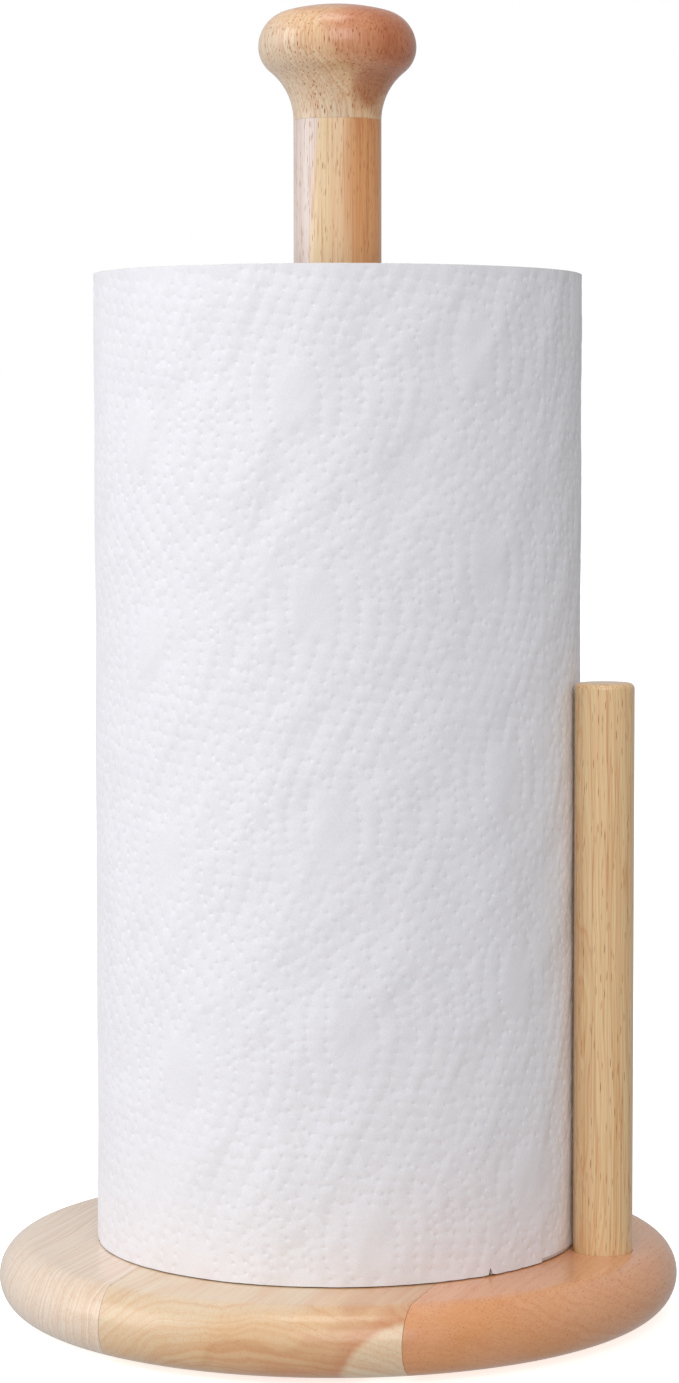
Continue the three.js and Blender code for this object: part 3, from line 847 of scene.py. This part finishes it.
winding_shape = bmesh.new()
wound_end(winding_shape, wind_low.z, -1)
wound_end(winding_shape, wind_high.z, 1)
bmesh.ops.remove_doubles(winding_shape, verts=winding_shape.verts[:], dist=SAME_POINT)
rims = [edge for edge in winding_shape.edges if edge.is_boundary]
inner_rims = [edge for edge in rims if edge.verts[0].co.xy.length < (wind_inner + wind_outer) / 2]
outer_rims = [edge for edge in rims if edge not in set(inner_rims)]
bmesh.ops.bridge_loops(winding_shape, edges=inner_rims)
bmesh.ops.bridge_loops(winding_shape, edges=outer_rims)
bmesh.ops.recalc_face_normals(winding_shape, faces=winding_shape.faces[:])
winding = to_object("paper_winding_wound", winding_shape)
nick_turn = math.radians(TAIL_ANGLE) - NICK_FROM_TAIL * MM / (wind_outer + TOWEL_THICKNESS)
bit = bmesh.new()
bmesh.ops.create_cube(bit, size=2 * MM)
bmesh.ops.scale(bit, verts=bit.verts[:], vec=(NICK_DEPTH, NICK_WIDTH / 2, NICK_HEIGHT))
bmesh.ops.translate(bit, verts=bit.verts[:], vec=(wind_outer, 0, wind_low.z))
bmesh.ops.rotate(bit, verts=bit.verts[:], cent=(0, 0, 0), matrix=Matrix.Rotation(nick_turn, 3, "Z"))
cut_away(winding, to_object("cutter", bit))
finish_piece(winding, wound, "paper", ["paper_winding"], crease=60)


# ---- Towels ----------------------------------------------------------------
# The last towel on the roll and what it leaves of the next one. The paper is
# embossed with small dents in strands that swing past each other, with plain
# leaf-shaped eyes between, and a row of perforations parts the two towels.

TOWEL_LENGTH = 279.0
OUTER_HEM = -0.12
SECOND_HEM = 0.8
NICK_LIFT = 0.3
NICK_EASE = 4.5
PERFORATION_GAP = 0.4
TIE_PITCH = 5.0
TAIL_GAP = 0.06
EDGE_STEP = 1.4
SIDE_STEP = 0.75

REPEAT_ACROSS = Vector((47.0, 10.4))
REPEAT_DOWN = Vector((9.5, -105.3))
STRANDS = 9
STRAND_GAP = 0.108
STRAND_SWING = 0.25
DENT_PITCH = 2.75
DENT_RADIUS = 0.75
DENT_DEPTH = 0.28
DENT_APART = 1.9
DENT_STRAY = 0.12
PILLOW = 0.10
PILLOW_REACH = 2.2
DEEPEST = -0.36
EYE_SWING = 0.88
EYE_WIDTH = 0.17
SLACK_LEAN = -6.5
SLACK_DEPTH = 1.9

towel_paper, shader = new_finish("embossed_towel")
spot = shader.node("TexCoord")["Object"]
fibre = spot.noise(1900, 5, 0.7)
cloud = spot.noise(60, 3)
crepe = spot.scaled(1, 1, 0.45).noise(900, 3, 0.6)
rise = shader.node("SeparateXYZ", None, {"Vector": spot})["Z"]
lean = rise * SLACK_LEAN
leant = shader.node("VectorRotate", {"rotation_type": "Z_AXIS"}, {"Vector": spot, "Angle": lean})
fold = leant.scaled(1, 1, 0.6).noise(64, 2, 0.45)
rough = fibre * 0.035 + crepe * 0.035 + fold * SLACK_DEPTH
close_finish(shader.node("BsdfPrincipled", None, {
    "Base Color": (fibre.ramp(0.35, 0.7) * 0.6 + cloud * 0.4).blend(paint("EAEAF0"), paint("F4F4FA")),
    "Roughness": 0.93,
    "Specular IOR Level": 0.25,
    "Normal": shader.node("Bump", None, {"Strength": 1.0, "Distance": 1.0 * MM, "Height": rough}),
}))

towel_low, towel_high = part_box("outer_towel")
roll_radius = (towel_high.y - towel_low.y) / 2 / MM
roll_height = (towel_high.z - towel_low.z) / MM


def strand_dots(u_from, u_to):
    """Places of the dents on the flat paper, in mm along it and up it."""
    chance = random.Random(3)
    turns = REPEAT_ACROSS.x * REPEAT_DOWN.y - REPEAT_ACROSS.y * REPEAT_DOWN.x
    corners = [(u, v) for u in (u_from, u_to) for v in (0, roll_height)]
    across = [(u * REPEAT_DOWN.y - v * REPEAT_DOWN.x) / turns for u, v in corners]
    down = [(v * REPEAT_ACROSS.x - u * REPEAT_ACROSS.y) / turns for u, v in corners]
    first, last = math.floor(min(down)) - 1, math.ceil(max(down)) + 1
    length = REPEAT_DOWN.length
    steps = int((last - first) * length / DENT_PITCH)
    dots, taken = [], {}
    for column in range(math.floor(min(across)) - 2, math.ceil(max(across)) + 2):
        for lean in (1, -1):
            for strand in range(STRANDS):
                offset = (strand - (STRANDS - 1) / 2) * STRAND_GAP
                for n in range(steps):
                    down_by = first + (n + 0.5 * (strand % 2)) * DENT_PITCH / length
                    swing = math.sin(2 * math.pi * down_by)
                    inward = -offset * lean * math.copysign(1, swing)
                    if abs(swing) > EYE_SWING and inward > EYE_WIDTH:
                        continue
                    across_by = column + 0.5 + offset + lean * STRAND_SWING * swing
                    spot = REPEAT_ACROSS * across_by + REPEAT_DOWN * down_by
                    spot += Vector((chance.gauss(0, DENT_STRAY), chance.gauss(0, DENT_STRAY)))
                    if not (u_from < spot.x < u_to and 0 < spot.y < roll_height):
                        continue
                    cell = (int(spot.x // DENT_APART), int(spot.y // DENT_APART))
                    near = [other for i in (-1, 0, 1) for j in (-1, 0, 1)
                            for other in taken.get((cell[0] + i, cell[1] + j), ())]
                    if all((other - spot).length > DENT_APART for other in near):
                        taken.setdefault(cell, []).append(spot)
                        dots.append(spot)
    return dots


tail = math.radians(TAIL_ANGLE) * roll_radius
nick_place = tail - NICK_FROM_TAIL
around_roll = 2 * math.pi * roll_radius
dots = strand_dots(tail - around_roll, tail + around_roll)
nearest_dot = kdtree.KDTree(len(dots))
for i, dot in enumerate(dots):
    nearest_dot.insert((dot.x, dot.y, 0), i)
nearest_dot.balance()


def relief(u, v):
    """How far the paper stands out from the roll's surface, in mm."""
    off = nearest_dot.find((u, v, 0))[2]
    pillow = PILLOW * min(1.0, max(0.0, off - DENT_RADIUS) / PILLOW_REACH)
    dent = DENT_DEPTH * (0.5 + 0.5 * math.cos(math.pi * min(1.0, off / DENT_RADIUS)))
    crease = noise.noise(Vector(((u - 0.35 * v) * 0.07, v * 0.022, 4.0)))
    soft = noise.noise(Vector((u * 0.03, v * 0.03, 9.0)))
    paper = pillow - dent + 0.24 * crease + 0.12 * soft - 0.12
    from_nick = math.hypot(u - nick_place, 0.6 * v)
    loose = max(0.0, 1 - from_nick / NICK_EASE)
    return max(DEEPEST, paper * (1 - loose) + NICK_LIFT * loose)


def edge_wave(u, seed, depth):
    """How far the hem wanders inward at u, in mm."""
    slow = noise.noise(Vector((u * 0.11, seed, 0)))
    quick = noise.noise(Vector((u * 0.7, seed, 3)))
    return depth * (0.5 + 0.5 * slow + 0.2 * quick)


def torn_edge(v):
    """How far the torn tail strays at v, in mm."""
    return 0.25 * noise.noise(Vector((v * 0.35, 2, 0)))


def towel_outline(left, right, hem, nick, tail_right):
    """The towel's edge on the flat paper: along the foot, up the right side and back along the top.
    With tail_right the torn tail is on the right and the perforation on the left, or else they swap."""
    def ties(v):
        return 0.5 * PERFORATION_GAP * (1 if (v / TIE_PITCH) % 1 < 0.3 else 0)

    steps = steps_between(left, right, EDGE_STEP)
    foot_line = [(u, hem + edge_wave(u, 1.0, 0.2)) for u in steps]
    if nick is not None:
        before = [point for point in foot_line if point[0] < nick - NICK_WIDTH]
        after = [point for point in foot_line if point[0] > nick + NICK_WIDTH]
        gap = [(nick - NICK_WIDTH / 2, 0.15), (nick - 0.1, NICK_HEIGHT)]
        gap += [(nick + 0.15, NICK_HEIGHT * 0.93), (nick + NICK_WIDTH / 2, 0.3)]
        foot_line = before + gap + after
    top_line = [(u, roll_height - edge_wave(u, 7.0, 0.3)) for u in steps]
    rise = steps_between(foot_line[-1][1], top_line[-1][1], SIDE_STEP)[1:-1]
    fall = steps_between(foot_line[0][1], top_line[0][1], SIDE_STEP)[1:-1]
    right_side = [(right + (torn_edge(v) if tail_right else ties(v)), v) for v in rise]
    left_side = [(left + (-ties(v) if tail_right else torn_edge(v)), v) for v in fall]
    return foot_line + right_side + top_line[::-1] + left_side[::-1]


KEEP_INSIDE = 1
FLAT_EPSILON = 1e-5


def filled(outline, inside):
    """Points and triangles of the flat shape inside the outline."""
    points = [Vector(p) for p in outline] + [Vector(p) for p in inside]
    border = [(i, (i + 1) % len(outline)) for i in range(len(outline))]
    found, _, faces, *_ = geometry.delaunay_2d_cdt(points, border, [], KEEP_INSIDE, FLAT_EPSILON)
    return found, faces


EDGE_MARGIN = 1.1
HEM_MARGIN = 1.5
NICK_MARGIN_ASIDE = 1.6
NICK_MARGIN_ABOVE = 1.2
DENT_RINGS = (5, 0.5), (7, 1.0)
PLAIN_PITCH = 2.6
PLAIN_STRAY = 0.5
PLAIN_FROM_DENT = 1.35
BACK_MARGIN = Vector((2, 4))
BACK_PITCH = Vector((4, 12))


def embossed_towel(name, left, right, hem, nick, tail_right):
    """A towel on the roll between two places along the paper, in mm, with the dents in its face."""
    def clear_of_edge(u, v, from_hem):
        return (left + EDGE_MARGIN < u < right - EDGE_MARGIN
                and hem + from_hem < v < roll_height - from_hem)

    def by_nick(u, v):
        if nick is None:
            return False
        return abs(u - nick) < NICK_MARGIN_ASIDE and v < NICK_HEIGHT + NICK_MARGIN_ABOVE

    outline = towel_outline(left, right, hem, nick, tail_right)
    chance = random.Random(11)
    inside = []
    for dot in dots:
        if not clear_of_edge(dot.x, dot.y, HEM_MARGIN) or by_nick(dot.x, dot.y):
            continue
        inside.append(dot)
        for count, ring in DENT_RINGS:
            for k in range(count):
                turn = 2 * math.pi * (k + 0.5 * ring) / count
                inside.append(dot + Vector((math.cos(turn), math.sin(turn))) * ring * DENT_RADIUS)
    for row in range(1, int(roll_height / PLAIN_PITCH)):
        for column in range(1, int((right - left) / PLAIN_PITCH)):
            u = left + column * PLAIN_PITCH + chance.uniform(-PLAIN_STRAY, PLAIN_STRAY)
            v = row * PLAIN_PITCH + chance.uniform(-PLAIN_STRAY, PLAIN_STRAY)
            if not clear_of_edge(u, v, EDGE_MARGIN) or by_nick(u, v):
                continue
            if nearest_dot.find((u, v, 0))[2] > PLAIN_FROM_DENT * DENT_RADIUS:
                inside.append((u, v))
    front, front_faces = filled(outline, inside)
    columns = steps_between(left + BACK_MARGIN.x, right - BACK_MARGIN.x, BACK_PITCH.x)
    rows = steps_between(BACK_MARGIN.y, roll_height - BACK_MARGIN.y, BACK_PITCH.y)
    back, back_faces = filled(outline, [(u, v) for u in columns for v in rows])

    def on_roll(point, radius):
        angle = point.x / roll_radius
        height = towel_low.z + point.y * MM
        return (radius * math.cos(angle) * MM, radius * math.sin(angle) * MM, height)

    inner_radius = roll_radius - TOWEL_THICKNESS / MM
    verts = [on_roll(p, roll_radius + relief(p.x, p.y)) for p in front]
    verts += [on_roll(p, inner_radius) for p in back]
    faces = [tuple(face) for face in front_faces]
    faces += [tuple(len(front) + i for i in reversed(face)) for face in back_faces]
    rim = len(outline)
    for i in range(rim):
        j = (i + 1) % rim
        faces.append((i, len(front) + i, len(front) + j, j))
    mesh = bpy.data.meshes.new(name)
    mesh.from_pydata(verts, [], faces)
    mesh.validate()
    sheet = bpy.data.objects.new(name, mesh)
    bpy.context.scene.collection.objects.link(sheet)
    return sheet


perforation = tail - TOWEL_LENGTH
outer = embossed_towel("outer_towel_embossed", perforation, tail, OUTER_HEM,
                       nick=nick_place, tail_right=True)
finish_piece(outer, towel_paper, "paper", ["outer_towel"], crease=50)
second = embossed_towel("second_towel_embossed", tail + TAIL_GAP,
                        perforation + around_roll - PERFORATION_GAP, SECOND_HEM,
                        nick=None, tail_right=False)
finish_piece(second, towel_paper, "paper", ["second_towel"], crease=50)
